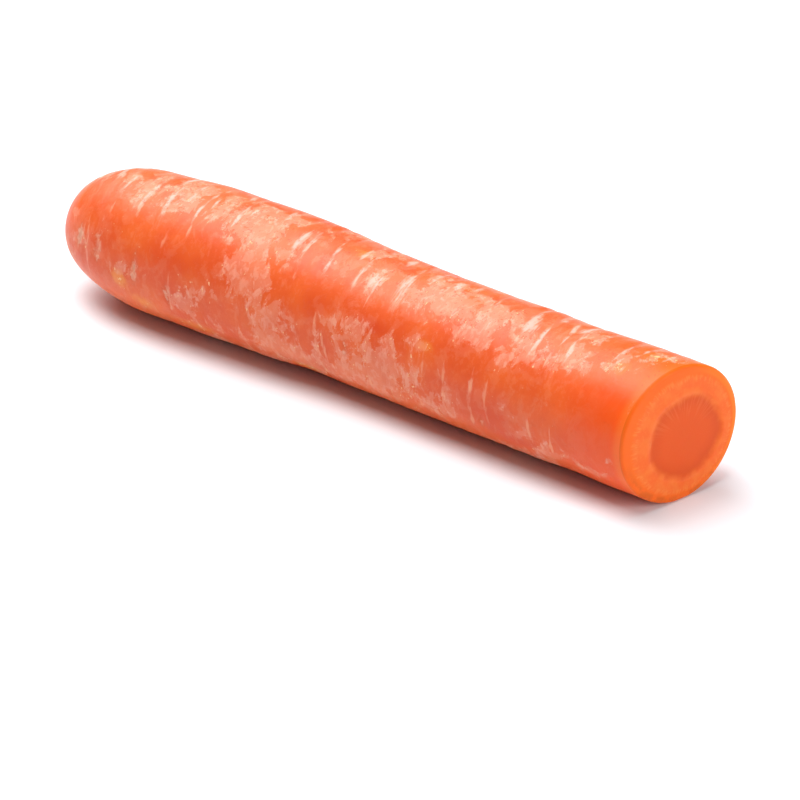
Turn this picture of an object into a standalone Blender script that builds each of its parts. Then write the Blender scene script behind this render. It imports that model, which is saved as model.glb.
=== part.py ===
"""One carrot root, washed, with its leaves trimmed off and its thin end cut away, lying on its side.

Run it with: blender --background --python part.py
Units are metres. The root lies along X with the crown at -X and the cut face at +X, and rests on z = 0.
Every point of the skin is a function of two numbers: how far along the root it is from the crown (s),
and its angle round the root (angle 0 faces +Y, 90 degrees faces up).
"""

import math

import bmesh
import bpy
import numpy as np

MM = 0.001

# Overall size
LENGTH = 182.0 * MM  # crown to the centre of the cut face
SHOULDER_RADIUS = 18.35 * MM
WAIST_RADIUS = 16.85 * MM
CUT_RADIUS = 17.1 * MM
TAPER_FROM, TAPER_TO = 38.0 * MM, 112.0 * MM  # the stretch in which the root thins
FLARE_FROM = 135.0 * MM  # and from here it swells a little again, as far as the cut

# Crown end: a flat-topped dome, r = R * (1 - (1 - s / DOME)^FULLNESS)^BLUNTNESS
DOME = 46.5 * MM
FULLNESS = 3.65
BLUNTNESS = 0.435
DIMPLE_DEPTH, DIMPLE_RADIUS = 2.6 * MM, 8.0 * MM  # hollow in which the leaves stood
STALKS = 7  # leaf stalks trimmed short, in a ring round the bud
STALK_HEIGHT, STALK_RING, STALK_WIDTH = 2.0 * MM, 4.4 * MM, 1.4 * MM
BUD_HEIGHT, BUD_WIDTH = 1.2 * MM, 1.7 * MM

# Bend: the root curves sideways, away from -Y in the middle and towards it at the crown
SIDE_BEND = 1.4 * MM
CROWN_SWING = 3.3 * MM
SINK = 0.6 * MM  # the underside is flat as deep as this, which is where the root rests
CUT_SINK = 0.12 * MM  # and at the cut it is nearly round again
SINK_EASES_FROM = 148.0 * MM

# Cut face, made by one slightly slanting stroke
CUT_YAW, CUT_TILT = math.radians(-14.5), math.radians(3.0)
RIM_ROUND = 0.8 * MM
CORE_RADIUS = 10.7 * MM
CORE_SIDE, CORE_DROP = 1.5 * MM, 1.2 * MM  # the core is off centre, towards +Y and down
CORE_SINK = 0.3 * MM
CORE_LOBES, CORE_LOBE_DEPTH = 5, 0.02

# Bulges and hollows of the body, as (mm from the crown, degrees, half length in mm, height in mm)
BULGES = (
    (76.0, 55, 20.0, 0.85),
    (91.0, 235, 16.0, -0.35),
    (12.0, 235, 9.0, -0.60),
    (27.0, 55, 10.0, -0.60),
    (44.0, 350, 18.0, 0.40),
    (108.0, 55, 9.0, 0.60),
    (132.0, 10, 26.0, 0.30),
    (165.0, 235, 12.0, -0.50),
)
BULGE_HALF_ANGLE = 1.0  # radians

# Broad unevenness of the skin, as (waves round, waves along, height in mm, phase)
SWELLS = (
    (2, 0.6, 0.14, 0.4),
    (3, 1.7, 0.10, 2.1),
    (1, 3.3, 0.09, 4.0),
    (2, 5.2, 0.08, 1.2),
    (0, 7.4, 0.07, 2.6),
    (3, 9.1, 0.06, 5.1),
)

# Main growth rings, as (mm from the crown, middle in degrees, half span in degrees, depth in mm).
# They are deepest along the top, where the skin is most wrinkled.
MAIN_RINGS = (
    (10.5, 110, 40, 0.10),
    (17.5, 100, 46, 0.13),
    (24.5, 98, 44, 0.20),
    (31.6, 102, 52, 0.22),
    (36.7, 94, 40, 0.18),
    (44.0, 108, 36, 0.10),
    (54.0, 96, 50, 0.18),
    (66.0, 88, 38, 0.12),
    (71.5, 92, 40, 0.18),
    (76.5, 98, 62, 0.30),
    (83.3, 92, 50, 0.26),
    (93.0, 96, 52, 0.27),
    (105.0, 98, 50, 0.24),
    (113.5, 86, 38, 0.13),
    (127.5, 92, 44, 0.16),
    (138.6, 98, 52, 0.25),
    (145.4, 94, 50, 0.21),
    (153.4, 100, 54, 0.25),
    (159.0, 88, 34, 0.12),
    (166.7, 96, 40, 0.18),
)
FINE_RINGS = 52
FINE_DEPTH = (0.05, 0.15)  # mm
FINE_HALF_SPAN = (10, 46)  # degrees
RING_HALF_WIDTH = 0.95 * MM
RING_WANDER = 0.9 * MM
RING_LIP = 0.35  # height of a ring's lips, as a share of its depth
RING_SEED = 7

# Eyes: the lens-shaped scars that side roots leave, as (mm from the crown, degrees, depth in mm)
EYES = (
    (13.0, 168, 0.35),
    (20.0, 170, 0.35),
    (32.5, 174, 0.40),
    (43.0, 186, 0.30),
    (79.0, 12, 0.35),
    (96.5, 176, 0.20),
    (121.0, 335, 0.40),
    (137.0, 196, 0.25),
    (47.0, 352, 0.45),
    (66.0, 268, 0.30),
    (112.0, 62, 0.25),
    (150.0, 20, 0.35),
)
EYE_HALF_LENGTH, EYE_HALF_WIDTH = 2.4 * MM, 1.0 * MM

# Mesh
COLUMNS = 36
CROWN_ROWS = 26
CROWN_ROWS_END = 12.0 * MM
BODY_ROWS = 122
RIM_ROWS = 3
CORE_SHARE = 0.64  # where the core's edge comes among the rings of faces on the cut
FACE_RINGS = (0.94, 0.84, 0.74, 0.67, 0.61, 0.5, 0.34, 0.17)
SLANT_STRETCH = 30.0 * MM  # rows turn from square to the axis to parallel to the cut in this length

SKIN_COLOUR = (0.80, 0.17, 0.045, 1.0)


def ease(t):
    """0 before 0, 1 after 1, and smooth between."""
    t = np.clip(t, 0.0, 1.0)
    return t * t * (3.0 - 2.0 * t)


def bell(distance, width):
    return np.exp(-((distance / width) ** 2))


def angle_gap(a, b):
    """The signed angle from b to a, between -pi and pi."""
    return (a - b + math.pi) % (2 * math.pi) - math.pi


def body_radius(s):
    """Radius without the crown's rounding: thick shoulders, a slimmer waist and a slight flare at the cut."""
    thinned = ease((s - TAPER_FROM) / (TAPER_TO - TAPER_FROM))
    flared = ease((s - FLARE_FROM) / (LENGTH - FLARE_FROM))
    return (
        SHOULDER_RADIUS
        + (WAIST_RADIUS - SHOULDER_RADIUS) * thinned
        + (CUT_RADIUS - WAIST_RADIUS) * flared
    )


def dome(s):
    """The crown's rounding, from 0 at the crown to 1 on the body."""
    left = 1.0 - np.clip(s / DOME, 0.0, 1.0)
    return (1.0 - left**FULLNESS) ** BLUNTNESS


def centreline(s):
    """(y, z) of the root's middle. Its underside lies on the table all the way, except under the crown."""
    y = SIDE_BEND * np.sin(math.pi * s / LENGTH) - CROWN_SWING * (1.0 - s / LENGTH) ** 2
    sink = SINK + (CUT_SINK - SINK) * ease((s - SINK_EASES_FROM) / (LENGTH - SINK_EASES_FROM))
    return y, body_radius(s) - sink


def swells(s, angle):
    """Bulges, hollows and broad waves that run along and round the root."""
    height = 0.0
    for bulge_s, degrees, half_length, size in BULGES:
        along = bell(s - bulge_s * MM, half_length * MM)
        height = height + size * MM * along * bell(angle_gap(angle, math.radians(degrees)), BULGE_HALF_ANGLE)
    for waves_round, waves_along, size, phase in SWELLS:
        along = 2 * math.pi * waves_along * s / LENGTH
        height = height + size * MM * np.sin(waves_round * angle + along + phase)
    return height


def rings():
    """Every growth ring, as in MAIN_RINGS and with the phase of its wander added."""
    draw = np.random.default_rng(RING_SEED)
    made = [(*ring, draw.uniform(0, 2 * math.pi)) for ring in MAIN_RINGS]
    for number in range(FINE_RINGS):
        s = LENGTH / MM * (0.06 + 0.9 * (number + draw.uniform(0, 1)) / FINE_RINGS)
        middle = draw.uniform(0, 360)
        half = draw.uniform(*FINE_HALF_SPAN)
        made.append((s, middle, half, draw.uniform(*FINE_DEPTH), draw.uniform(0, 2 * math.pi)))
    return made


def ring_relief(s, angle):
    """Each ring is a shallow groove with a lip on either side, which fades out at both its ends."""
    height = 0.0
    for ring_s, middle, half, depth, phase in rings():
        gap = angle_gap(angle, math.radians(middle))
        window = ease(1.6 * (1.0 - np.abs(gap) / math.radians(half)))
        across = s - ring_s * MM - RING_WANDER * np.sin(2.2 * gap + phase)
        groove = bell(across, RING_HALF_WIDTH)
        lips = bell(np.abs(across) - 2.1 * RING_HALF_WIDTH, RING_HALF_WIDTH)
        height = height + depth * MM * window * (RING_LIP * lips - groove)
    return height


def eye_relief(s, angle):
    """Lens-shaped dents, longest round the root."""
    height = 0.0
    for eye_s, degrees, depth in EYES:
        along = (s - eye_s * MM) / EYE_HALF_WIDTH
        gap = angle_gap(angle, math.radians(degrees))
        across = gap * body_radius(s) * dome(s) / EYE_HALF_LENGTH
        height = height - depth * MM * np.exp(-(along**2) - across**2)
    return height


def skin_radius(s, angle):
    relief = swells(s, angle) + ring_relief(s, angle) + eye_relief(s, angle)
    return body_radius(s) * dome(s) + relief * ease(dome(s) * 1.6 - 0.5)


def crown_hollow(radius, angle):
    """How far a point near the pole is pushed into the root: a dimple, less the stalk stubs and the bud."""
    dimple = DIMPLE_DEPTH * ease(1.25 * (1.0 - radius / DIMPLE_RADIUS))
    lobes = np.cos(STALKS * angle + 1.3 * np.sin(angle)) * 0.5 + 0.5
    stalks = STALK_HEIGHT * bell(radius - STALK_RING, STALK_WIDTH) * (0.35 + 0.65 * lobes)
    bud = BUD_HEIGHT * bell(radius, BUD_WIDTH)
    return dimple - stalks - bud


def cut_normal():
    return np.array([
        math.cos(CUT_YAW) * math.cos(CUT_TILT),
        math.sin(CUT_YAW) * math.cos(CUT_TILT),
        math.sin(CUT_TILT),
    ])


def cut_slant(y, z):
    """How far beyond LENGTH the cut plane lies at this height and side."""
    normal = cut_normal()
    middle_y, middle_z = centreline(LENGTH)
    return -((y - middle_y) * normal[1] + (z - middle_z) * normal[2]) / normal[0]


def skin_points(s, angle):
    """Points of the skin. Near the cut the rows lean over until the last one lies in its plane."""
    radius = skin_radius(s, angle)
    middle_y, middle_z = centreline(s)
    y = middle_y + radius * np.cos(angle)
    z = middle_z + radius * np.sin(angle)
    lean = ease((s - (LENGTH - SLANT_STRETCH)) / SLANT_STRETCH)
    x = s + lean * cut_slant(y, z)
    near_pole = dome(s) * body_radius(s)
    x = x + np.where(near_pole < DIMPLE_RADIUS, crown_hollow(near_pole, angle), 0.0)
    return np.stack([x, y, np.maximum(z, 0.0)], axis=-1)


def skin_stations():
    """Distances from the crown of every row: even steps in radius on the crown, even lengths on the body."""
    last = (CROWN_ROWS_END / DOME) ** BLUNTNESS
    steps = np.arange(1, CROWN_ROWS + 1) / CROWN_ROWS * last
    crown = DOME * steps ** (1.0 / BLUNTNESS)
    body = np.linspace(CROWN_ROWS_END, LENGTH - RIM_ROUND, BODY_ROWS + 1)[1:]
    return np.concatenate([crown, body])


def rim_rows(edge, middle):
    """The cut's edge, rounded: quarter-circle steps from the skin to the plane of the cut."""
    inward = middle - edge
    inward = inward / np.linalg.norm(inward, axis=1, keepdims=True)
    rows = []
    for step in range(1, RIM_ROWS + 1):
        turn = 0.5 * math.pi * step / RIM_ROWS
        rows.append(edge + RIM_ROUND * (cut_normal() * math.sin(turn) + inward * (1 - math.cos(turn))))
    return rows


def core_outline(angle):
    """Edge of the core on the cut face, a rounded shape with a few soft corners."""
    middle_y, middle_z = centreline(LENGTH)
    radius = CORE_RADIUS * (1 + CORE_LOBE_DEPTH * np.cos(CORE_LOBES * angle + 0.7))
    y = middle_y + CORE_SIDE + radius * np.cos(angle)
    z = middle_z - CORE_DROP + radius * np.sin(angle)
    return np.stack([LENGTH + cut_slant(y, z), y, z], axis=-1)


def core_middle():
    middle_y, middle_z = centreline(LENGTH)
    y, z = middle_y + CORE_SIDE, middle_z - CORE_DROP
    return np.array([LENGTH + float(cut_slant(y, z)), y, z]) - CORE_SINK * cut_normal()


def face_row(share, rim, angle):
    """One ring of the cut face: the rim at share 1, the core's edge at CORE_SHARE, its middle at 0."""
    outline = core_outline(angle)
    if share >= CORE_SHARE:
        points = outline + (rim - outline) * (share - CORE_SHARE) / (1 - CORE_SHARE)
    else:
        middle = core_middle() + CORE_SINK * cut_normal()
        points = middle + (outline - middle) * share / CORE_SHARE
    sunk = CORE_SINK * float(ease((CORE_SHARE + 0.04 - share) / 0.08))
    return points - sunk * cut_normal()


def root_rows():
    """Every ring of points from the crown to the middle of the cut face, and the two end points."""
    angle = np.arange(COLUMNS) / COLUMNS * 2 * math.pi
    rows = [skin_points(np.full(COLUMNS, s), angle) for s in skin_stations()]
    middle_y, middle_z = centreline(LENGTH - RIM_ROUND)
    middle = np.array([rows[-1][:, 0].mean(), middle_y, middle_z])
    rows += rim_rows(rows[-1], middle)
    rim = rows[-1]
    rows += [face_row(share, rim, angle) for share in FACE_RINGS]
    crown_y, crown_z = centreline(0.0)
    crown_tip = np.array([float(crown_hollow(0.0, 0.0)), crown_y, crown_z])
    return rows, crown_tip, core_middle()


def root_mesh():
    """Joins the rings with four-sided faces, and closes both ends with a fan."""
    rows, crown_tip, face_tip = root_rows()
    everything = np.concatenate([np.concatenate(rows), [crown_tip, face_tip]])
    ends = (everything[:, 0].max() + everything[:, 0].min()) / 2
    sides = (everything[:, 1].max() + everything[:, 1].min()) / 2
    bm = bmesh.new()
    made = [bm.verts.new((x - ends, y - sides, z)) for x, y, z in everything]
    loops = [made[i * COLUMNS : (i + 1) * COLUMNS] for i in range(len(rows))]
    for here, there in zip(loops, loops[1:]):
        for i in range(COLUMNS):
            j = (i + 1) % COLUMNS
            bm.faces.new((here[i], there[i], there[j], here[j]))
    for i in range(COLUMNS):
        j = (i + 1) % COLUMNS
        bm.faces.new((made[-2], loops[0][i], loops[0][j]))
        bm.faces.new((made[-1], loops[-1][j], loops[-1][i]))
    bmesh.ops.recalc_face_normals(bm, faces=bm.faces)
    mesh = bpy.data.meshes.new("carrot_root")
    bm.to_mesh(mesh)
    bm.free()
    mesh.shade_smooth()
    return mesh


def skin_material():
    material = bpy.data.materials.new("carrot_skin")
    material.use_nodes = True
    shader = material.node_tree.nodes["Principled BSDF"]
    shader.inputs["Base Color"].default_value = SKIN_COLOUR
    shader.inputs["Roughness"].default_value = 0.42
    shader.inputs["Metallic"].default_value = 0.0
    return material


def main():
    for old in list(bpy.data.objects):
        bpy.data.objects.remove(old)
    root = bpy.data.objects.new("carrot_root", root_mesh())
    root.data.materials.append(skin_material())
    bpy.context.scene.collection.objects.link(root)


main()
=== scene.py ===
"""The look of one carrot root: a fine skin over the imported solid, its materials, and a plain studio.

The root lies along X, crown at -X and cut face at +X, resting on z = 0. Every point of its skin comes from
two numbers: s, how far it is from the crown, and its angle round the root (0 faces +Y, 90 degrees faces up).
"""

import math

import bpy
import numpy as np
from mathutils import Matrix, Vector

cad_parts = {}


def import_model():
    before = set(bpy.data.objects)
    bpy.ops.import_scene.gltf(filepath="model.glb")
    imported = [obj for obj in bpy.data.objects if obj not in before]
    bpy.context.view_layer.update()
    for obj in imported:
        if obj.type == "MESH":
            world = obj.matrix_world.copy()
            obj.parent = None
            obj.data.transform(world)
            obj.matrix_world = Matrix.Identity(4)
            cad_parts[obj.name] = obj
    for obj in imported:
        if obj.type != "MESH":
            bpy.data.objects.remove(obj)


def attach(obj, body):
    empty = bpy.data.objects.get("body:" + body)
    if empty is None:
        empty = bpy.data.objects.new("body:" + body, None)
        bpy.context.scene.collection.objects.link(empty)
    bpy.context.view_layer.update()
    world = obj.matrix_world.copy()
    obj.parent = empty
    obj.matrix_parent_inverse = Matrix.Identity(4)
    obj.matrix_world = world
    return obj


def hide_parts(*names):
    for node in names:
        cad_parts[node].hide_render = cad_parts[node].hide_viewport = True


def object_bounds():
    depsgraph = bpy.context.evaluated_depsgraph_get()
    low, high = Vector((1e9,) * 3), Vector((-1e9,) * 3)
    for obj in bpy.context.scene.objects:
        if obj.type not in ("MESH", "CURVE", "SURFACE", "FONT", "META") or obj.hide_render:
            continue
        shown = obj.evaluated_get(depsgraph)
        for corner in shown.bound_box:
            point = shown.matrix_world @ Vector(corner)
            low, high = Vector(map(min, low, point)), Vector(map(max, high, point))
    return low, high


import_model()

CAD_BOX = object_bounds()
NODE = "carrot_root"
MM = 0.001

# ---------------------------------------------------------------- sizes of the root, as in its solid

LENGTH = 182.0 * MM
SHOULDER_RADIUS = 18.35 * MM
WAIST_RADIUS = 16.85 * MM
CUT_RADIUS = 17.1 * MM
TAPER_FROM, TAPER_TO = 38.0 * MM, 112.0 * MM
FLARE_FROM = 135.0 * MM

DOME = 46.5 * MM
FULLNESS = 3.65
BLUNTNESS = 0.435
DIMPLE_DEPTH, DIMPLE_RADIUS = 2.6 * MM, 8.0 * MM
DIMPLE_FLATNESS = 1.25  # over 1, the dimple's floor is flat in the middle
STALKS = 7
STALK_CROWDING = 1.3  # how far the stalks stand closer on one side, in radians of their wave
STALK_LEAST = 0.35  # height between two stalks, as a share of theirs
STALK_HEIGHT, STALK_RING, STALK_WIDTH = 2.0 * MM, 4.4 * MM, 1.4 * MM
BUD_HEIGHT, BUD_WIDTH = 1.2 * MM, 1.7 * MM

SIDE_BEND = 1.4 * MM
CROWN_SWING = 3.3 * MM
SINK = 0.6 * MM
CUT_SINK = 0.12 * MM
SINK_EASES_FROM = 148.0 * MM

CUT_YAW, CUT_TILT = math.radians(-14.5), math.radians(3.0)
RIM_ROUND = 0.8 * MM
CORE_RADIUS = 10.7 * MM
CORE_SIDE, CORE_DROP = 1.5 * MM, 1.2 * MM
CORE_SINK = 0.3 * MM
CORE_LOBES, CORE_LOBE_DEPTH, CORE_LOBE_TURN = 5, 0.02, 0.7
CORE_SHARE = 0.64
CORE_EDGE = 0.04  # half the width of the slope into the core, as a share of the face
SLANT_STRETCH = 30.0 * MM

# (mm from the crown, degrees, half length in mm, height in mm)
BULGES = (
    (76.0, 55, 20.0, 0.85),
    (91.0, 235, 16.0, -0.35),
    (12.0, 235, 9.0, -0.60),
    (27.0, 55, 10.0, -0.60),
    (44.0, 350, 18.0, 0.40),
    (108.0, 55, 9.0, 0.60),
    (132.0, 10, 26.0, 0.30),
    (165.0, 235, 12.0, -0.50),
)
BULGE_HALF_ANGLE = 1.0

# (waves round, waves along, height in mm, phase)
SWELLS = (
    (2, 0.6, 0.14, 0.4),
    (3, 1.7, 0.10, 2.1),
    (1, 3.3, 0.09, 4.0),
    (2, 5.2, 0.08, 1.2),
    (0, 7.4, 0.07, 2.6),
    (3, 9.1, 0.06, 5.1),
)

# (mm from the crown, middle in degrees, half span in degrees, depth in mm)
MAIN_RINGS = (
    (10.5, 110, 40, 0.10),
    (17.5, 100, 46, 0.13),
    (24.5, 98, 44, 0.20),
    (31.6, 102, 52, 0.22),
    (36.7, 94, 40, 0.18),
    (44.0, 108, 36, 0.10),
    (54.0, 96, 50, 0.18),
    (66.0, 88, 38, 0.12),
    (71.5, 92, 40, 0.18),
    (76.5, 98, 62, 0.30),
    (83.3, 92, 50, 0.26),
    (93.0, 96, 52, 0.27),
    (105.0, 98, 50, 0.24),
    (113.5, 86, 38, 0.13),
    (127.5, 92, 44, 0.16),
    (138.6, 98, 52, 0.25),
    (145.4, 94, 50, 0.21),
    (153.4, 100, 54, 0.25),
    (159.0, 88, 34, 0.12),
    (166.7, 96, 40, 0.18),
)
FINE_RINGS = 52
FINE_DEPTH = (0.05, 0.15)
FINE_HALF_SPAN = (10, 46)
FINE_FROM, FINE_REACH = 0.06, 0.9  # where the fine rings start and how far they go, as shares of LENGTH
RING_HALF_WIDTH = 0.95 * MM
RING_WANDER, RING_WAVES = 0.9 * MM, 2.2
RING_LIP, RING_LIP_OFFSET = 0.35, 2.1  # height of a lip, of its groove, and its distance, in half widths
RING_FADE = 1.6
RING_SEED = 7

# (mm from the crown, degrees, depth in mm)
EYES = (
    (13.0, 168, 0.35),
    (20.0, 170, 0.35),
    (32.5, 174, 0.40),
    (43.0, 186, 0.30),
    (79.0, 12, 0.35),
    (96.5, 176, 0.20),
    (121.0, 335, 0.40),
    (137.0, 196, 0.25),
    (47.0, 352, 0.45),
    (66.0, 268, 0.30),
    (112.0, 62, 0.25),
    (150.0, 20, 0.35),
)
EYE_HALF_LENGTH, EYE_HALF_WIDTH = 2.4 * MM, 1.0 * MM
EYE_DEPTH = 0.35  # of an eye of that size
RELIEF_GAIN, RELIEF_START = 1.6, 0.5  # the relief fades out where the crown closes

# ---------------------------------------------------------------- marks that are only in the skin's colour

# Where the skin is rubbed and dried, as
# (mm from the crown, degrees, half length in mm, half span in degrees, share of the skin that is rubbed)
RUBBED = (
    (8, 86, 6, 24, 0.55),
    (18, 100, 7, 22, 0.50),
    (28, 102, 6, 24, 0.60),
    (38, 92, 6, 18, 0.95),
    (37, 118, 8, 14, 0.45),
    (48, 106, 8, 16, 0.45),
    (52, 90, 5, 14, 0.65),
    (57, 111, 6, 15, 0.90),
    (64, 113, 6, 14, 1.05),
    (63, 88, 7, 16, 0.95),
    (72, 122, 5, 9, 0.80),
    (70, 88, 3, 9, 0.50),
    (79, 82, 4, 16, 0.55),
    (85, 100, 3, 18, 0.10),
    (89, 126, 4, 6, 0.55),
    (92, 88, 3, 14, 0.50),
    (98, 114, 3, 11, 0.90),
    (97, 74, 4, 14, 0.65),
    (108, 84, 5, 14, 0.40),
    (116, 88, 4, 14, 0.65),
    (112, 112, 6, 14, 0.60),
    (123, 106, 7, 20, 1.00),
    (133, 108, 6, 15, 1.00),
    (124, 84, 5, 10, 0.55),
    (127, 127, 9, 11, 0.80),
    (147, 118, 5, 12, 0.60),
    (152, 128, 4, 10, 0.65),
    (158, 88, 4, 13, 0.90),
    (158, 122, 5, 12, 0.70),
    (166, 114, 5, 13, 0.45),
    (169, 100, 3, 8, 0.50),
    (176, 84, 5, 13, 0.70),
    (178, 64, 3, 8, 0.90),
    (178, 110, 5, 10, 0.30),
    (13, 169, 3, 8, 0.85),
    (20, 166, 1.6, 14, 0.75),
    (28, 179, 4, 7, 0.80),
    (44, 188, 1.6, 20, 0.85),
    (50, 188, 5, 17, 0.80),
    (57, 170, 5, 12, 0.45),
    (61, 200, 5, 9, 0.55),
    (74, 178, 7, 28, 1.00),
    (65, 153, 6, 17, 0.80),
    (65, 138, 6, 11, 1.00),
    (142, 133, 6, 9, 0.80),
    (8, 144, 2.5, 8, 0.90),
    (80, 206, 9, 17, 0.95),
    (89, 184, 3, 26, 0.60),
    (92, 208, 7, 15, 0.85),
    (97, 163, 6, 17, 0.70),
    (98, 192, 6, 15, 0.70),
    (108, 180, 8, 23, 0.95),
    (105, 207, 9, 15, 0.95),
    (109, 158, 6, 10, 0.45),
    (119, 194, 5, 21, 0.85),
    (119, 151, 2.5, 9, 0.75),
    (126, 190, 3, 21, 0.55),
    (133.5, 167, 1.3, 14, 0.80),
    (136, 206, 7, 13, 0.35),
    (142, 190, 5, 19, 0.30),
    (150, 204, 4, 14, 0.45),
    (157, 168, 4, 15, 0.60),
    (157, 206, 5, 15, 0.80),
    (170, 208, 8, 7, 0.85),
    (177, 187, 2, 7, 0.60),
    (8, 200, 5, 19, 0.70),
    (18, 224, 9, 12, 0.55),
    (52, 222, 11, 12, 0.60),
    (72, 226, 11, 13, 0.60),
    (148, 226, 14, 12, 0.60),
)
# Where the skin is yellower, in the same form
OCHRE = (
    (27.5, 188, 2.5, 8, 0.80),
    (34, 204, 5, 9, 0.50),
    (50, 214, 9, 8, 0.45),
    (119, 150, 3, 6, 0.50),
    (171, 112, 2.5, 8, 0.70),
    (175, 87, 5, 9, 0.60),
    (82, 222, 6, 7, 0.60),
    (90, 92, 3, 10, 0.40),
    (62, 300, 9, 16, 0.50),
    (140, 320, 8, 18, 0.45),
)
# Where it is redder
RED = (
    (46, 157, 12, 13, 0.45),
    (84, 118, 3, 16, 0.55),
    (86, 150, 5, 16, 0.60),
    (102, 88, 4, 10, 0.60),
    (103, 150, 6, 8, 0.70),
    (117, 146, 6, 10, 0.40),
    (138, 190, 12, 16, 0.55),
    (146, 205, 10, 10, 0.45),
    (143, 106, 2, 20, 0.45),
    (163, 186, 10, 22, 0.45),
    (110, 338, 16, 20, 0.50),
    (30, 290, 12, 20, 0.45),
)
BACK_PATCHES = 26  # drawn at random over the side that RUBBED leaves bare
BACK_ANGLES = (232, 412)  # degrees: from the underside, round the far side and on to 52
BACK_START, BACK_REACH = 0.04, 0.92  # shares of LENGTH
BACK_HALF_LENGTH = (6.0, 14.0)  # mm
BACK_HALF_SPAN = (18, 32)  # degrees
BACK_SHARE = (0.4, 0.85)
PATCH_SEED = 21

FRESH_FROM = 148.0 * MM  # from here to the cut the skin looks brighter, as light comes through the fresh cut
CUT_BACK_FROM, CUT_BACK_OVER = LENGTH - 4.6 * MM, 4.2 * MM  # here it takes on the colour of the cut's rim
TOP_MIDDLE, TOP_HALF_SPAN = 97, 40  # degrees: the strip along the top that is painted paler as a sheen, where film and lines are also drawn stronger
RIDGE_HIGHLIGHT_SHARE, RIDGE_HIGHLIGHT_HALF_WIDTH = 0.61, 0.016  # a painted highlight along the sunken edge of the core, as shares of the face
RIDGE_HIGHLIGHT_MIDDLE, RIDGE_HIGHLIGHT_HALF_SPAN = 172, 15  # degrees

# Pale lines round the root, as (mm from the crown, degrees, half span in degrees, half width in mm)
STROKES = (
    (8.0, 86, 26, 1.3),
    (14.0, 84, 26, 1.0),
    (15.4, 98, 9, 1.1),
    (20.3, 104, 18, 0.9),
    (28.4, 108, 32, 1.0),
    (35.3, 112, 32, 1.0),
    (39.6, 96, 18, 1.9),
    (46.2, 100, 11, 0.8),
    (54.4, 102, 19, 0.9),
    (57.0, 92, 11, 0.7),
    (74.2, 106, 25, 1.3),
    (76.8, 104, 27, 1.5),
    (78.4, 134, 11, 0.6),
    (83.2, 92, 23, 0.9),
    (84.4, 118, 15, 0.8),
    (90.5, 93, 10, 0.9),
    (93.5, 104, 31, 1.1),
    (98.2, 115, 11, 1.5),
    (106.3, 114, 27, 3.4),
    (117.3, 88, 15, 1.5),
    (140.8, 98, 30, 2.1),
    (145.6, 108, 26, 0.8),
    (146.2, 76, 15, 1.6),
    (151.2, 124, 15, 0.7),
    (154.3, 84, 21, 1.7),
    (155.0, 114, 17, 1.0),
    (159.2, 90, 13, 1.1),
    (166.6, 92, 21, 0.9),
    (171.2, 114, 7, 1.0),
    (33.4, 76, 14, 1.5),
    (45.0, 78, 12, 0.9),
    (52.0, 76, 12, 0.9),
    (64.5, 78, 14, 1.1),
    (100.6, 78, 14, 1.4),
    (105.4, 80, 13, 0.9),
    (111.0, 84, 16, 1.2),
    (122.0, 78, 11, 1.1),
    (129.6, 88, 15, 0.9),
    (171.0, 86, 12, 0.8),
    (176.4, 82, 12, 0.7),
    (13.6, 158, 16, 0.7),
    (19.9, 160, 20, 0.8),
    (44.0, 188, 26, 0.9),
    (88.0, 176, 26, 0.8),
    (90.2, 184, 24, 0.7),
    (119.0, 160, 15, 0.7),
    (125.6, 176, 32, 0.6),
    (133.6, 174, 29, 0.9),
    (134.2, 194, 18, 0.7),
    (138.6, 178, 30, 0.9),
    (151.0, 190, 19, 0.6),
)
STROKE_LEAN = 1.6 * MM  # along the root for each turn of a radian
STROKE_WANDER, STROKE_WAVES = 0.4 * MM, 5.0
FINE_STROKE_BASE, FINE_STROKE_GAIN = 0.3, 3.0  # a fine ring's line is wider the deeper its groove, in mm
NO_STROKE, NO_EYE, NO_RIDGE_HIGHLIGHT = -2, -4, -1  # what those fields hold away from every mark
EYE_MARK_LENGTH = 1.5  # times EYE_HALF_LENGTH, so the mark reaches past most of the hollow

# ---------------------------------------------------------------- mesh

COLUMNS = 216
CROWN_ROWS = 70
CROWN_ROWS_END = 12.0 * MM
BODY_ROWS = 330
RIM_ROWS = 6
FACE_ROWS = 36
SKIN_SHARE, RIM_SHARE = 1.1, 1.08  # of skin and rim, on the face's scale: 0 in its middle and 1 at its edge
POLE_MOST = 3  # the crown's scale counts up to this, from 0 in its middle and 1 at the dimple's edge


def ease(t):
    """0 before 0, 1 after 1, and smooth between."""
    t = np.clip(t, 0.0, 1.0)
    return t * t * (3.0 - 2.0 * t)


def bell(distance, width):
    """e to the minus square of distance over width: 1 at no distance and nearly 0 at twice the width."""
    return np.exp(-((distance / width) ** 2))


def angle_gap(a, b):
    """The signed angle from b to a, between -pi and pi."""
    return (a - b + math.pi) % (2 * math.pi) - math.pi


def body_radius(s):
    """Shoulder radius, thinning smoothly to the waist and then flaring a little to the cut."""
    thinned = ease((s - TAPER_FROM) / (TAPER_TO - TAPER_FROM))
    flared = ease((s - FLARE_FROM) / (LENGTH - FLARE_FROM))
    return (
        SHOULDER_RADIUS
        + (WAIST_RADIUS - SHOULDER_RADIUS) * thinned
        + (CUT_RADIUS - WAIST_RADIUS) * flared
    )


def dome(s):
    """Share of the body's radius: 0 at the crown, rising as a blunt superellipse to 1 at DOME."""
    left = 1.0 - np.clip(s / DOME, 0.0, 1.0)
    return (1.0 - left**FULLNESS) ** BLUNTNESS


def centreline(s):
    """(y, z) of the root's middle: a half sine sideways, less a swing at the crown, at the body's height."""
    y = SIDE_BEND * np.sin(math.pi * s / LENGTH) - CROWN_SWING * (1.0 - s / LENGTH) ** 2
    sink = SINK + (CUT_SINK - SINK) * ease((s - SINK_EASES_FROM) / (LENGTH - SINK_EASES_FROM))
    return y, body_radius(s) - sink


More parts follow.
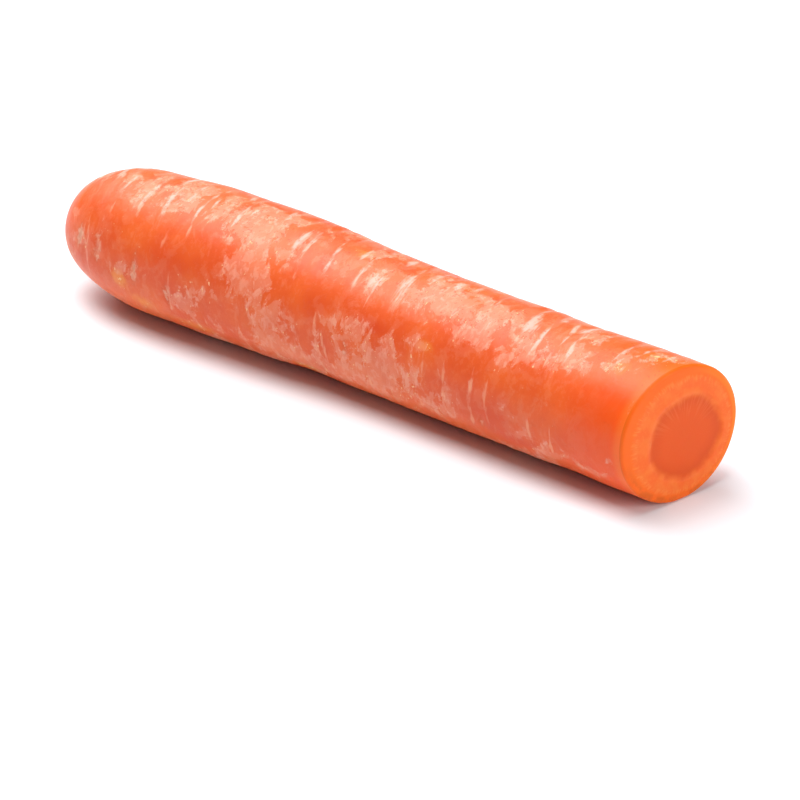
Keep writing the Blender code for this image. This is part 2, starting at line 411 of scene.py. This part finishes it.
def swells(s, angle):
    """Bulges as bells in s and angle, plus broad sine waves that run along and round the root."""
    height = 0.0
    for bulge_s, degrees, half_length, size in BULGES:
        along = bell(s - bulge_s * MM, half_length * MM)
        height = height + size * MM * along * bell(angle_gap(angle, math.radians(degrees)), BULGE_HALF_ANGLE)
    for waves_round, waves_along, size, phase in SWELLS:
        along = 2 * math.pi * waves_along * s / LENGTH
        height = height + size * MM * np.sin(waves_round * angle + along + phase)
    return height


def rings():
    """Every growth ring, as in MAIN_RINGS and with the phase of its wander added."""
    draw = np.random.default_rng(RING_SEED)
    made = [(*ring, draw.uniform(0, 2 * math.pi)) for ring in MAIN_RINGS]
    for number in range(FINE_RINGS):
        s = LENGTH / MM * (FINE_FROM + FINE_REACH * (number + draw.uniform(0, 1)) / FINE_RINGS)
        middle = draw.uniform(0, 360)
        half = draw.uniform(*FINE_HALF_SPAN)
        made.append((s, middle, half, draw.uniform(*FINE_DEPTH), draw.uniform(0, 2 * math.pi)))
    return made


def across_ring(s, angle, ring):
    """(signed distance along the root from a ring, how far round it towards its end: 0 middle, 1 end)."""
    ring_s, middle, half, _, phase = ring
    gap = angle_gap(angle, math.radians(middle))
    across = s - ring_s * MM - RING_WANDER * np.sin(RING_WAVES * gap + phase)
    return across, np.abs(gap) / math.radians(half)


def ring_relief(s, angle):
    """Each ring is a bell-shaped groove with a bell-shaped lip on either side, faded out at its ends."""
    height = 0.0
    for ring in rings():
        across, reach = across_ring(s, angle, ring)
        groove = bell(across, RING_HALF_WIDTH)
        lips = bell(np.abs(across) - RING_LIP_OFFSET * RING_HALF_WIDTH, RING_HALF_WIDTH)
        height = height + ring[3] * MM * ease(RING_FADE * (1.0 - reach)) * (RING_LIP * lips - groove)
    return height


def eye_distance(s, angle, eye):
    """Distance from an eye's middle in units of its lens shape, which is longest round the root."""
    along = (s - eye[0] * MM) / EYE_HALF_WIDTH
    across = angle_gap(angle, math.radians(eye[1])) * body_radius(s) * dome(s) / EYE_HALF_LENGTH
    return along**2 + across**2


def eye_relief(s, angle):
    """Each eye is a hollow in the shape of a bell over its lens."""
    return sum(-eye[2] * MM * np.exp(-eye_distance(s, angle, eye)) for eye in EYES)


def skin_radius(s, angle):
    """The body's radius times the dome, plus the swells, rings and eyes, which fade out on the crown."""
    relief = swells(s, angle) + ring_relief(s, angle) + eye_relief(s, angle)
    return body_radius(s) * dome(s) + relief * ease(dome(s) * RELIEF_GAIN - RELIEF_START)


def crown_hollow(radius, angle):
    """A smooth dimple, less a ring of trimmed stalks made by a cosine round the pole, less the bud's bell."""
    dimple = DIMPLE_DEPTH * ease(DIMPLE_FLATNESS * (1.0 - radius / DIMPLE_RADIUS))
    lobes = np.cos(STALKS * angle + STALK_CROWDING * np.sin(angle)) * 0.5 + 0.5
    uneven = STALK_LEAST + (1.0 - STALK_LEAST) * lobes
    stalks = STALK_HEIGHT * bell(radius - STALK_RING, STALK_WIDTH) * uneven
    return dimple - stalks - BUD_HEIGHT * bell(radius, BUD_WIDTH)


def cut_normal():
    """The direction that the cut faces: +X turned by CUT_YAW and then tilted up by CUT_TILT."""
    return np.array([
        math.cos(CUT_YAW) * math.cos(CUT_TILT),
        math.sin(CUT_YAW) * math.cos(CUT_TILT),
        math.sin(CUT_TILT),
    ])


def cut_slant(y, z):
    """How far beyond LENGTH the cut plane lies at this height and side."""
    normal = cut_normal()
    middle_y, middle_z = centreline(LENGTH)
    return -((y - middle_y) * normal[1] + (z - middle_z) * normal[2]) / normal[0]


def skin_points(s, angle):
    """Circles of skin_radius round the centreline, leaning over near the cut until they lie in its plane."""
    radius = skin_radius(s, angle)
    middle_y, middle_z = centreline(s)
    y = middle_y + radius * np.cos(angle)
    z = middle_z + radius * np.sin(angle)
    x = s + ease((s - (LENGTH - SLANT_STRETCH)) / SLANT_STRETCH) * cut_slant(y, z)
    pole_radius = dome(s) * body_radius(s)
    x = x + np.where(pole_radius < DIMPLE_RADIUS, crown_hollow(pole_radius, angle), 0.0)
    return np.stack([x, y, np.maximum(z, 0.0)], axis=-1)


def skin_stations():
    """Even steps in radius on the crown, then even lengths on the body."""
    last = (CROWN_ROWS_END / DOME) ** BLUNTNESS
    steps = np.arange(1, CROWN_ROWS + 1) / CROWN_ROWS * last
    crown = DOME * steps ** (1.0 / BLUNTNESS)
    body = np.linspace(CROWN_ROWS_END, LENGTH - RIM_ROUND, BODY_ROWS + 1)[1:]
    return np.concatenate([crown, body])


def rim_points(edge, middle):
    """A quarter circle from the skin to the plane of the cut, in RIM_ROWS steps."""
    inward = middle - edge
    inward = inward / np.linalg.norm(inward, axis=1, keepdims=True)
    turn = 0.5 * math.pi * np.arange(1, RIM_ROWS + 1)[:, None, None] / RIM_ROWS
    return edge + RIM_ROUND * (cut_normal() * np.sin(turn) + inward * (1 - np.cos(turn)))


def core_outline(angle):
    """A circle with CORE_LOBES soft corners, off centre, in the plane of the cut."""
    middle_y, middle_z = centreline(LENGTH)
    radius = CORE_RADIUS * (1 + CORE_LOBE_DEPTH * np.cos(CORE_LOBES * angle + CORE_LOBE_TURN))
    y = middle_y + CORE_SIDE + radius * np.cos(angle)
    z = middle_z - CORE_DROP + radius * np.sin(angle)
    return np.stack([LENGTH + cut_slant(y, z), y, z], axis=-1)


def core_middle():
    """The middle of the core's outline, in the plane of the cut."""
    middle_y, middle_z = centreline(LENGTH)
    y, z = middle_y + CORE_SIDE, middle_z - CORE_DROP
    return np.array([LENGTH + float(cut_slant(y, z)), y, z])


def face_points(share, rim, angle):
    """Blends the rim (share 1) into the core's outline (CORE_SHARE), and that into its sunken middle (0)."""
    outline = core_outline(angle)
    outer = outline + (rim - outline) * (share - CORE_SHARE) / (1 - CORE_SHARE)
    inner = core_middle() + (outline - core_middle()) * share / CORE_SHARE
    sunk = CORE_SINK * ease((CORE_SHARE + CORE_EDGE - share) / (2 * CORE_EDGE))
    return np.where(share >= CORE_SHARE, outer, inner) - sunk * cut_normal()


# ---------------------------------------------------------------- where each mark lies


def stroke_field(s, angle):
    """1 in the middle of a pale line, 0 at its edges and pointed ends. Each fine ring has a line as well."""
    field = np.full(np.broadcast(s, angle).shape, float(NO_STROKE))
    fine = [(*ring[:3], FINE_STROKE_GAIN * ring[3] + FINE_STROKE_BASE) for ring in rings()[len(MAIN_RINGS) :]]
    for number, (stroke_s, middle, half, half_width) in enumerate((*STROKES, *fine)):
        gap = angle_gap(angle, math.radians(middle))
        lean = STROKE_LEAN * gap + STROKE_WANDER * np.sin(STROKE_WAVES * gap + number)
        across = np.abs(s - stroke_s * MM - lean) / (half_width * MM)
        field = np.maximum(field, 1.0 - (gap / math.radians(half)) ** 2 - across)
    return field


def back_patches():
    """Patches for the far side and the underside, in the form of RUBBED, spread evenly along the root."""
    draw = np.random.default_rng(PATCH_SEED)
    return [
        (
            LENGTH / MM * (BACK_START + BACK_REACH * (number + draw.uniform(0, 1)) / BACK_PATCHES),
            draw.uniform(*BACK_ANGLES),
            draw.uniform(*BACK_HALF_LENGTH),
            draw.uniform(*BACK_HALF_SPAN),
            draw.uniform(*BACK_SHARE),
        )
        for number in range(BACK_PATCHES)
    ]


def patch_field(s, angle, patches):
    """Share of the skin that patches cover: one less the product of what each patch's bell leaves bare."""
    bare = np.ones(np.broadcast(s, angle).shape)
    for patch_s, degrees, half_length, half_span, share in patches:
        along = bell(s - patch_s * MM, half_length * MM)
        around = bell(angle_gap(angle, math.radians(degrees)), math.radians(half_span))
        bare = bare * (1.0 - share * along * around)
    return 1.0 - bare


def eye_field(s, angle):
    """1 in the middle of an eye, 0 on the edge of its almond shape, which is pointed at both ends."""
    field = np.full(np.broadcast(s, angle).shape, float(NO_EYE))
    for eye_s, degrees, depth in EYES:
        size = depth / EYE_DEPTH
        along = (s - eye_s * MM) / (EYE_HALF_WIDTH * size)
        arc = angle_gap(angle, math.radians(degrees)) * body_radius(s) * dome(s)
        around = arc / (EYE_MARK_LENGTH * EYE_HALF_LENGTH * size)
        field = np.maximum(field, 1.0 - around**2 - np.abs(along))
    return field


def top_field(angle):
    """1 within half of TOP_HALF_SPAN of the top's middle, and 0 from the whole of it away."""
    gap = np.abs(angle_gap(angle, math.radians(TOP_MIDDLE)))
    return ease(2.0 * (1.0 - gap / math.radians(TOP_HALF_SPAN)))


def ridge_highlight_field(reach, angle):
    """1 in the middle of an arc on the cut face, 0 at its edge and NO_RIDGE_HIGHLIGHT well outside."""
    across = (reach - RIDGE_HIGHLIGHT_SHARE) / RIDGE_HIGHLIGHT_HALF_WIDTH
    along = angle_gap(angle, math.radians(RIDGE_HIGHLIGHT_MIDDLE)) / math.radians(RIDGE_HIGHLIGHT_HALF_SPAN)
    return (1.0 - across**2 - along**2).clip(NO_RIDGE_HIGHLIGHT, 1)


# ---------------------------------------------------------------- building the mesh


def grid_faces(rows, columns, first):
    """Four-sided faces of a tube of rows by columns points, numbered from first, facing out."""
    row, column = np.meshgrid(np.arange(rows - 1), np.arange(columns), indexing="ij")
    beside = (column + 1) % columns
    here = first + row * columns
    there = here + columns
    corners = [here + column, here + beside, there + beside, there + column]
    return np.stack(corners, axis=-1).reshape(-1, 4)


def fan_faces(tip, ring, forward):
    """Triangles from a ring of points to a tip, facing +X if forward and -X if not."""
    beside = np.roll(ring, -1)
    pair = (ring, beside) if forward else (beside, ring)
    return np.stack([np.full(len(ring), tip), *pair], axis=-1)


def fresh_field(s):
    """Rises from 0 to 1 between FRESH_FROM and the cut, plus 1 more over the last few millimetres."""
    towards_cut = ease((s - FRESH_FROM) / (LENGTH - FRESH_FROM))
    return towards_cut + ease((s - CUT_BACK_FROM) / CUT_BACK_OVER)


def pole_field(s):
    """0 in the middle of the crown, 1 at the dimple's edge and at most POLE_MOST."""
    return (dome(s) * body_radius(s) / DIMPLE_RADIUS).clip(0, POLE_MOST)


def add_field(mesh, name, grid, at_crown_tip, at_face_tip):
    """Puts a value on each point of the mesh: those of the grid, then those of the two tips."""
    field = mesh.attributes.new(name, "FLOAT", "POINT")
    rows = (len(mesh.vertices) - 2) // COLUMNS
    values = np.append(np.broadcast_to(grid, (rows, COLUMNS)), [at_crown_tip, at_face_tip])
    field.data.foreach_set("value", np.ascontiguousarray(values, np.float32))


def root_surface():
    """The closed surface: its grid of points, s and share of the rows, angle of the columns, and the tips."""
    angle = np.arange(COLUMNS) / COLUMNS * 2 * math.pi
    stations = skin_stations()
    skin = skin_points(stations[:, None], angle[None, :])
    middle_y, middle_z = centreline(LENGTH - RIM_ROUND)
    rim = rim_points(skin[-1], np.array([skin[-1, :, 0].mean(), middle_y, middle_z]))
    share = np.linspace(1.0, 0.0, FACE_ROWS + 2)[1:-1]
    face = face_points(share[:, None, None], rim[-1][None], angle)
    points = np.concatenate([skin, rim, face])
    s = np.concatenate([stations, np.full(RIM_ROWS + FACE_ROWS, LENGTH)])
    reach = np.concatenate([
        np.full(len(stations), SKIN_SHARE),
        np.linspace(RIM_SHARE, 1.0, RIM_ROWS),
        share,
    ])
    crown_y, crown_z = centreline(0.0)
    crown_tip = np.array([float(crown_hollow(0.0, 0.0)), crown_y, crown_z])
    return points, s, angle, reach, crown_tip, core_middle() - CORE_SINK * cut_normal()


def centred(points):
    """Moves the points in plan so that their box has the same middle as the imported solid's."""
    low, high = CAD_BOX
    middle = np.array([(low.x + high.x) / 2, (low.y + high.y) / 2])
    own = (points[:, :2].min(axis=0) + points[:, :2].max(axis=0)) / 2
    points[:, :2] += middle - own
    return points


def carrot_root(skin, flesh):
    """One closed mesh: the skin as a tube, the rounded edge of the cut, and its face as shrinking rings."""
    grid, s, angle, reach, crown_tip, face_tip = root_surface()
    rows = len(grid)
    points = centred(np.concatenate([grid.reshape(-1, 3), [crown_tip, face_tip]]))
    tube = grid_faces(rows, COLUMNS, 0)
    crown_fan = fan_faces(rows * COLUMNS, np.arange(COLUMNS), False)
    face_fan = fan_faces(rows * COLUMNS + 1, np.arange((rows - 1) * COLUMNS, rows * COLUMNS), True)
    mesh = bpy.data.meshes.new("carrot_skin_and_cut")
    mesh.from_pydata(points.tolist(), [], [*tube.tolist(), *crown_fan.tolist(), *face_fan.tolist()])

    # Skin is material 0. Flesh is 1, on the rim, on the face and on the fan that closes it
    of_flesh = np.zeros(len(mesh.polygons), np.int32)
    of_flesh[(CROWN_ROWS + BODY_ROWS - 1) * COLUMNS : len(tube)] = 1
    of_flesh[len(tube) + len(crown_fan) :] = 1
    mesh.polygons.foreach_set("material_index", of_flesh)

    # What the materials read: where the marks lie, and how far along the skin or across the face a point is
    station, turn, reach = s[:, None], angle[None, :], reach[:, None]
    add_field(mesh, "stroke", stroke_field(station, turn), NO_STROKE, NO_STROKE)
    add_field(mesh, "rub", patch_field(station, turn, (*RUBBED, *back_patches())), 0, 0)
    add_field(mesh, "ochre", patch_field(station, turn, OCHRE), 0, 0)
    add_field(mesh, "red", patch_field(station, turn, RED), 0, 0)
    add_field(mesh, "eye", eye_field(station, turn), NO_EYE, NO_EYE)
    add_field(mesh, "fresh", fresh_field(station), 0, 2)
    add_field(mesh, "top", top_field(turn), 0, 0)
    add_field(mesh, "ridge_highlight", ridge_highlight_field(reach, turn), NO_RIDGE_HIGHLIGHT, NO_RIDGE_HIGHLIGHT)
    add_field(mesh, "pole", pole_field(station), 0, POLE_MOST)
    add_field(mesh, "share", reach, SKIN_SHARE, 0)
    add_field(mesh, "ray_y", np.cos(turn), 0, 0)
    add_field(mesh, "ray_z", np.sin(turn), 0, 0)

    mesh.materials.append(skin)
    mesh.materials.append(flesh)
    mesh.shade_smooth()
    mesh.validate()
    piece = bpy.data.objects.new("carrot_skin_and_cut", mesh)
    bpy.context.scene.collection.objects.link(piece)
    return piece


# ---------------------------------------------------------------- materials


def linear(code):
    """An sRGB hex colour as linear red, green, blue and alpha."""
    parts = [int(code[i : i + 2], 16) / 255 for i in (0, 2, 4)]
    return (*[p / 12.92 if p <= 0.04045 else ((p + 0.055) / 1.055) ** 2.4 for p in parts], 1.0)


def node(tree, kind, inputs, **settings):
    """Adds a node with its settings. Each input is a value for its socket, or the output of another node."""
    made = tree.nodes.new("ShaderNode" + kind)
    for name, value in settings.items():
        setattr(made, name, value)
    for socket, value in inputs.items():
        if isinstance(value, bpy.types.NodeSocket):
            tree.links.new(value, made.inputs[socket])
        else:
            made.inputs[socket].default_value = value
    return made


def noise(tree, place, size, **inputs):
    """Noise with features of this size in millimetres, between 0 and 1 and mostly within 0.1 of 0.5."""
    return node(tree, "TexNoise", {"Vector": place, "Scale": 1.0 / (size * MM), **inputs}).outputs[0]


def spoked(tree, spoke, across, around, detail):
    """Noise on the cut face, with about this many features to a radius across it and round it."""
    drawn = node(tree, "Mapping", {"Vector": spoke, "Scale": (across, around, around)}).outputs[0]
    return node(tree, "TexNoise", {"Vector": drawn, "Scale": 1.0, "Detail": detail}).outputs[0]


def stretched(tree, place, amount):
    """The same place with features drawn out this many times across and up, and so round the root."""
    return node(tree, "Mapping", {"Vector": place, "Scale": (1.0, 1.0 / amount, 1.0 / amount)}).outputs[0]


def plus(tree, value, factor, other):
    """value times factor, plus other"""
    return node(tree, "Math", {0: value, 1: factor, 2: other}, operation="MULTIPLY_ADD").outputs[0]


def step(tree, value, low, high, top=1.0):
    """0 below low, top above high, and smooth between."""
    inputs = {"Value": value, "From Min": low, "From Max": high, "To Max": top}
    return node(tree, "MapRange", inputs, interpolation_type="SMOOTHSTEP").outputs[0]


def both(tree, one, other):
    """One mask times another."""
    return node(tree, "Math", {0: one, 1: other}, operation="MULTIPLY").outputs[0]


def over(tree, share, under, colour):
    """Lays a colour over another by a share from 0 to 1. The upper one is a hex code or a node's output."""
    upper = linear(colour) if isinstance(colour, str) else colour
    return node(tree, "Mix", {0: share, 6: under, 7: upper}, data_type="RGBA").outputs[2]


def field_of(tree, name):
    """The value that add_field put on the mesh under this name."""
    return node(tree, "Attribute", {}, attribute_name=name).outputs["Fac"]


def new_material(name):
    """(material, its tree, its Principled shader)"""
    material = bpy.data.materials.new(name)
    material.use_nodes = True
    return material, material.node_tree, material.node_tree.nodes["Principled BSDF"]


def washed_skin():
    """Raw carrot skin, washed and brushed by machine: moist and glossy, with scuffed flakes that have dried.

    The eye gets deep orange with a broad soft shine, partly painted as a paler top, under a ragged pale film
    crossed by paler growth lines.
    """
    material, tree, shader = new_material("washed_carrot_skin")
    place = node(tree, "TexCoord", {}).outputs["Object"]

    # Sizes as on real skin: clouds of colour 14 mm wide, film that breaks every 4 to 5 mm, flakes of 1 to 2 mm
    # and fibres half a millimetre thick round the root. Pores are finer, and drawn coarser so that they show
    clouds = noise(tree, place, 14, Detail=3.0)
    breaks = noise(tree, place, 4.5, Detail=3.0)
    film = noise(tree, stretched(tree, place, 1.3), 4.6, Detail=10.0, Roughness=0.64, Distortion=0.5)
    flake = noise(tree, stretched(tree, place, 1.6), 1.5, Detail=6.0, Roughness=0.62, Distortion=0.5)
    strands = noise(tree, stretched(tree, place, 6.0), 0.55, Detail=4.0, Roughness=0.6)
    grit = noise(tree, place, 0.8, Detail=3.0)
    grain = noise(tree, stretched(tree, place, 1.4), 1.3, Detail=6.0, Roughness=0.7)

    # Orange that wanders from redder to yellower, painted a little paler on top as a sheen, with a thin haze
    # of dried skin
    orange = over(tree, step(tree, clouds, 0.3, 0.7), linear("E15626"), "EA662B")
    top = field_of(tree, "top")
    # Painted sheen: the strip along the top is mixed paler, as if lit there
    painted_sheen = over(tree, plus(tree, top, 0.14, 0.0), orange, "F59A70")
    ochre = plus(tree, field_of(tree, "ochre"), 2.0, grain)
    yellowed = over(tree, step(tree, ochre, 0.8, 1.7, 0.6), painted_sheen, "F59A3C")
    mottled = over(tree, step(tree, grain, 0.52, 0.6, 0.1), yellowed, "F7A27C")
    ruddy = over(tree, step(tree, grain, 0.46, 0.38, 0.1), mottled, "CC3F14")
    red = plus(tree, field_of(tree, "red"), 1.6, grain)
    reddened = over(tree, step(tree, red, 0.6, 1.9, 0.8), ruddy, "D8431A")
    haze = both(tree, step(tree, film, 0.49, 0.55), plus(tree, top, 0.1, 0.11))
    hazed = over(tree, haze, reddened, "F4A283")

    # Near the cut it glows, and its last few millimetres have the colour of the cut's rim
    fresh = field_of(tree, "fresh")
    glow = over(tree, top, linear("F4560F"), "F7681F")
    glowing = over(tree, plus(tree, fresh, 0.85, 0.0), hazed, glow)
    cut_back = over(tree, step(tree, fresh, 1.0, 2.0, 0.85), glowing, "FA7026")

    # Dried film: a thin layer broken up by ragged noise, thicker in places, with pale flakes at its margins
    rub = field_of(tree, "rub")
    level = plus(tree, rub, 0.36, film)
    covered = step(tree, level, 0.675, 0.735)
    margin = both(tree, step(tree, level, 0.62, 0.69), step(tree, level, 0.84, 0.75))
    strength = plus(tree, top, 0.1, 0.28)
    filmed = over(tree, both(tree, covered, strength), cut_back, "F0A386")
    thick = both(tree, covered, step(tree, flake, 0.48, 0.58))
    paled = over(tree, both(tree, thick, strength), filmed, "F5B297")
    flaking = both(tree, margin, step(tree, flake, 0.54, 0.6))
    flaked = over(tree, both(tree, flaking, plus(tree, top, 0.14, 0.18)), paled, "FAC3AA")

    # Growth lines: strands of pale dry skin, pink on top and yellower lower down
    wavering = plus(tree, strands, 1.8, plus(tree, breaks, 2.4, field_of(tree, "stroke")))
    pith = over(tree, top, linear("FDBE86"), "FCD2C6")
    edged = over(tree, both(tree, step(tree, wavering, 2.2, 3.0), strength), flaked, "F6B096")
    whitest = both(tree, step(tree, plus(tree, flake, 1.2, wavering), 3.0, 3.9), plus(tree, top, 0.26, 0.26))
    ringed = over(tree, whitest, edged, pith)

    # Specks: dark pores, mostly in the film and on top, and pale flecks that are nearly yellow
    pores = step(tree, plus(tree, margin, 0.04, plus(tree, thick, 0.05, grit)), 0.635, 0.675)
    pored = over(tree, both(tree, pores, plus(tree, top, 0.38, 0.12)), ringed, "CC481C")
    frayed = plus(tree, margin, 0.1, plus(tree, strands, 0.6, grit))
    twinkling = plus(tree, field_of(tree, "ochre"), 0.2, frayed)
    flecked = over(tree, step(tree, twinkling, 1.08, 1.13, 0.7), pored, "FFD79E")

    # Eyes: pale corky lenses in a redder ring, with a dark slit
    eye = plus(tree, flake, 6.0, plus(tree, film, 2.5, field_of(tree, "eye")))
    stained = over(tree, step(tree, eye, 3.2, 4.8, 0.25), flecked, "C4501E")
    corky = over(tree, step(tree, eye, 4.3, 5.4, 0.6), stained, "F4BA9A")
    slit = over(tree, step(tree, plus(tree, grit, 2.0, eye), 6.1, 6.4, 0.3), corky, "B8603C")

    # Crown: olive brown where the leaves stood, with a ragged edge
    trimmed = plus(tree, flake, 1.5, field_of(tree, "pole"))
    whole = over(tree, step(tree, trimmed, 1.95, 1.45, 0.9), slit, "7B6A35")
    tree.links.new(whole, shader.inputs["Base Color"])

    tree.links.new(plus(tree, covered, 0.12, 0.36), shader.inputs["Roughness"])
    height = plus(tree, strands, 0.4, plus(tree, grit, 0.4, plus(tree, flake, 0.6, film)))
    bump = node(tree, "Bump", {"Height": height, "Strength": 0.45, "Distance": 0.2 * MM}).outputs[0]
    tree.links.new(bump, shader.inputs["Normal"])
    shader.inputs["IOR"].default_value = 1.35  # moist skin, close to water's 1.33
    shader.inputs["Subsurface Weight"].default_value = 0.3
    shader.inputs["Subsurface Radius"].default_value = (1.0, 0.3, 0.12)
    shader.inputs["Subsurface Scale"].default_value = 2.0 * MM
    return material


def cut_flesh():
    """Raw carrot flesh, freshly sliced with a knife: wet and smooth, with a darker core and fine rays.

    The eye gets rings of orange that glow through, from a yellower rim to a redder middle.
    """
    material, tree, shader = new_material("sliced_carrot_flesh")
    place = node(tree, "TexCoord", {}).outputs["Object"]
    share = field_of(tree, "share")
    ray_y, ray_z = field_of(tree, "ray_y"), field_of(tree, "ray_z")
    spoke = node(tree, "CombineXYZ", {0: share, 1: ray_y, 2: ray_z}).outputs[0]

    # Rays: noise that changes slowly from the middle to the rim, and fast round it, every millimetre there
    rays = spoked(tree, spoke, 2.2, 16.0, 4.0)
    dashes = spoked(tree, spoke, 7.0, 22.0, 3.0)
    cloud = noise(tree, place, 3.0, Detail=4.0)
    grain = noise(tree, place, 0.7, Detail=3.0)

    # Layers from the middle out: the core, darkest at its edge and rayed on top, then flesh
    wavy = plus(tree, cloud, 0.12, share)
    flesh = over(tree, step(tree, cloud, 0.35, 0.65), linear("E76524"), "E86F2A")
    mottled = over(tree, step(tree, grain, 0.5, 0.7, 0.3), flesh, "EC7B31")
    upper = step(tree, ray_z, -0.3, 0.8, 0.3)
    halfway = both(tree, step(tree, share, 0.22, 0.45), upper)
    core = over(tree, step(tree, wavy, 0.4, 0.66), linear("D85318"), "CF4C12")
    rayed = over(tree, both(tree, halfway, step(tree, rays, 0.5, 0.62)), core, "E2743E")
    cored = over(tree, step(tree, wavy, 0.735, 0.595), mottled, rayed)

    # The rim under the skin, its inner edge scalloped by the ends of the rays, which are pale dashes. It has a
    # painted highlight, lighter and yellower towards one side, and is darker brown in patches towards the
    # bottom
    scalloped = plus(tree, dashes, 0.22, share)
    rimmed = over(tree, step(tree, scalloped, 0.96, 1.0), cored, "E86516")
    band = both(tree, step(tree, share, 0.79, 0.85), step(tree, share, 0.93, 0.88))
    dashed = over(tree, both(tree, band, step(tree, dashes, 0.46, 0.6, 0.3)), rimmed, "F2954E")
    outer = step(tree, share, 0.9, 0.97)
    # Painted highlight: the outer rim is mixed lighter and yellower towards one side, as if lit from there
    painted_highlight_side = both(tree, outer, step(tree, ray_y, 0.1, 0.9, 0.45))
    highlighted_rim = over(tree, painted_highlight_side, dashed, "FB8C2C")
    # Darker brown in patches towards the bottom of the rim
    lower = step(tree, ray_z, 0.0, -0.8, 0.5)
    darker_below_mask = both(tree, both(tree, outer, lower), step(tree, cloud, 0.4, 0.6))
    darker_below = over(tree, darker_below_mask, highlighted_rim, "B4500F")

    # A painted highlight along the sunken edge of the core
    whole = over(tree, step(tree, field_of(tree, "ridge_highlight"), 0.0, 0.9, 0.4), darker_below, "F2A366")
    tree.links.new(whole, shader.inputs["Base Color"])

    height = plus(tree, grain, 0.6, rays)
    bump = node(tree, "Bump", {"Height": height, "Strength": 0.25, "Distance": 0.12 * MM}).outputs[0]
    tree.links.new(bump, shader.inputs["Normal"])
    shader.inputs["Roughness"].default_value = 0.42
    shader.inputs["IOR"].default_value = 1.26  # below water's 1.33, as the cut has only a faint shine
    shader.inputs["Subsurface Weight"].default_value = 0.5
    shader.inputs["Subsurface Radius"].default_value = (1.0, 0.35, 0.14)
    shader.inputs["Subsurface Scale"].default_value = 2.5 * MM
    return material


def floor_paint():
    """Matt white emulsion on a studio floor: no shine, so that only the shadow shows."""
    material, _, shader = new_material("matt_white_emulsion")
    shader.inputs["Base Color"].default_value = linear("F1F3F7")
    shader.inputs["Roughness"].default_value = 0.9
    shader.inputs["Specular IOR Level"].default_value = 0.1
    return material


# ---------------------------------------------------------------- studio

FLOOR_HALF = 6.0
FLOOR_GAP = 0.05 * MM  # below the root's flat, so that the two faces don't coincide

LENS, SENSOR = 157.5, 36.0  # mm
CLIP_NEAR, CLIP_FAR = 0.05, 50.0
CAMERA_AZIMUTH, CAMERA_ELEVATION = 38.19, 29.67  # degrees
CAMERA_DISTANCE = 0.845
AIM_FROM_CUT_END, AIM_SIDE = 0.0828, -0.0028

WORLD_STRENGTH = 0.12
# (name, direction from the root, distance, width and height in metres, radiance)
SOFTBOXES = (
    ("overhead_softbox", (-0.12, -0.18, 0.97), 1.3, 1.0, 0.7, 5.2),
    ("shine_softbox", (-0.54, 0.15, 0.83), 1.2, 1.3, 0.98, 3.5),
    ("cut_softbox", (0.93, 0.08, 0.37), 1.3, 0.8, 0.8, 5.1),
)


def floor():
    """A flat square, just under the root."""
    made = bpy.data.meshes.new("floor")
    corners = [(-1, -1), (1, -1), (1, 1), (-1, 1)]
    made.from_pydata([(x * FLOOR_HALF, y * FLOOR_HALF, -FLOOR_GAP) for x, y in corners], [], [(0, 1, 2, 3)])
    made.materials.append(floor_paint())
    piece = bpy.data.objects.new("floor", made)
    bpy.context.scene.collection.objects.link(piece)
    return piece


def softbox(name, direction, distance, width, height, radiance):
    """A rectangular lamp aimed at the origin, its width along the root. Its power is pi x radiance x area."""
    lamp = bpy.data.lights.new(name, "AREA")
    lamp.shape = "RECTANGLE"
    lamp.size, lamp.size_y = width, height
    lamp.energy = radiance * width * height * math.pi
    back = Vector(direction).normalized()
    across = back.cross(Vector((1, 0, 0))).normalized()
    turn = Matrix((across.cross(back), across, back)).transposed()
    made = bpy.data.objects.new(name, lamp)
    made.location = back * distance
    made.rotation_euler = turn.to_euler()
    bpy.context.scene.collection.objects.link(made)


def world():
    """A faint even light from all round, which fills the shadows."""
    made = bpy.data.worlds.new("studio")
    made.use_nodes = True
    background = made.node_tree.nodes["Background"]
    background.inputs["Color"].default_value = linear("FFFFFF")
    background.inputs["Strength"].default_value = WORLD_STRENGTH
    bpy.context.scene.world = made


def camera():
    """Looks down the root from its cut end, from a distance set by the strength of its perspective."""
    lens = bpy.data.cameras.new("camera")
    lens.lens, lens.sensor_width = LENS, SENSOR
    lens.clip_start, lens.clip_end = CLIP_NEAR, CLIP_FAR
    turn, rise = math.radians(CAMERA_AZIMUTH), math.radians(CAMERA_ELEVATION)
    back = Vector((math.sin(turn) * math.cos(rise), -math.cos(turn) * math.cos(rise), math.sin(rise)))
    made = bpy.data.objects.new("camera", lens)
    aim = Vector((CAD_BOX[1].x - AIM_FROM_CUT_END, AIM_SIDE, 0.0))
    made.location = aim + back * CAMERA_DISTANCE
    made.rotation_euler = back.to_track_quat("Z", "Y").to_euler()
    bpy.context.scene.collection.objects.link(made)
    bpy.context.scene.camera = made


def main():
    """Puts the root on its body, and the studio round it."""
    root = carrot_root(washed_skin(), cut_flesh())
    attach(root, "root")
    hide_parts(NODE)
    floor()
    world()
    for box in SOFTBOXES:
        softbox(*box)
    camera()
    bpy.context.scene.view_settings.view_transform = "Standard"


main()
